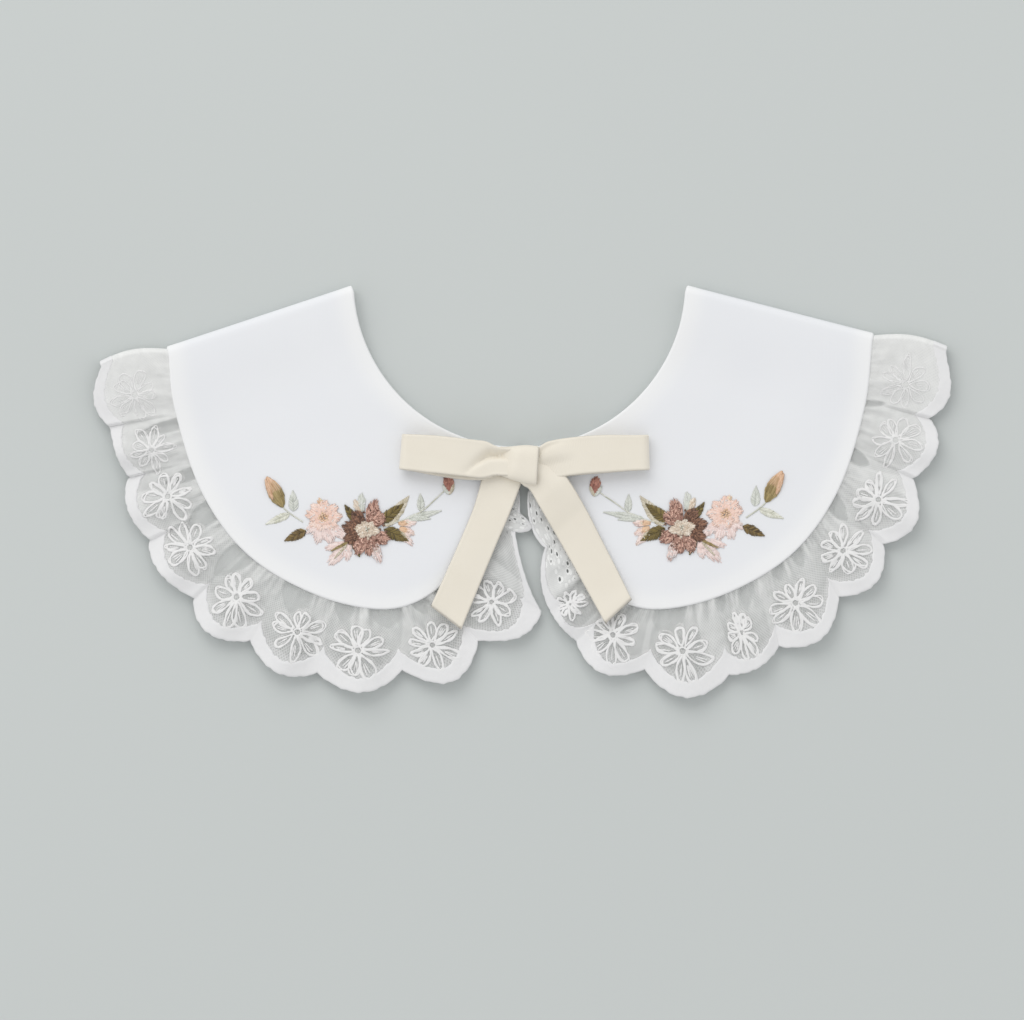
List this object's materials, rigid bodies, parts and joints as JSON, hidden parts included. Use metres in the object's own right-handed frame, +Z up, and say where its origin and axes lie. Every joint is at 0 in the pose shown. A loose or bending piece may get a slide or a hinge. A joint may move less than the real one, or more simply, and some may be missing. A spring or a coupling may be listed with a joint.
{
  "type": "embroidered lace-trimmed collar",
  "caption": "Small flat cotton collar with mirrored round halves, floral embroidery, a gathered lace ruffle round the edge and a ribbon bow at the front; laid flat, folded at the shoulders.",
  "frame": {"origin": "on the surface the collar lies on, under the middle of its bounding box", "axes": "+X across the collar towards its right-hand half as seen from above, +Y from the bow towards the shoulders, +Z up from the surface"},
  "size_m": [0.2314, 0.1114, 0.0081],
  "materials": {
    "white_cotton": "plain woven cotton, matt",
    "white_lace": "embroidered net with a satin-stitched scalloped edge",
    "cream_ribbon": "cream ribbon with a fine cross rib, soft sheen"
  },
  "bodies": {
    "root": {"panel_left": "white_cotton", "panel_right": "white_cotton", "ruffle_left": "white_lace", "ruffle_right": "white_lace", "bow_loop_left": "cream_ribbon", "bow_loop_right": "cream_ribbon", "bow_tail_left": "cream_ribbon", "bow_tail_right": "cream_ribbon", "bow_knot": "cream_ribbon"}
  },
  "joints": []
}
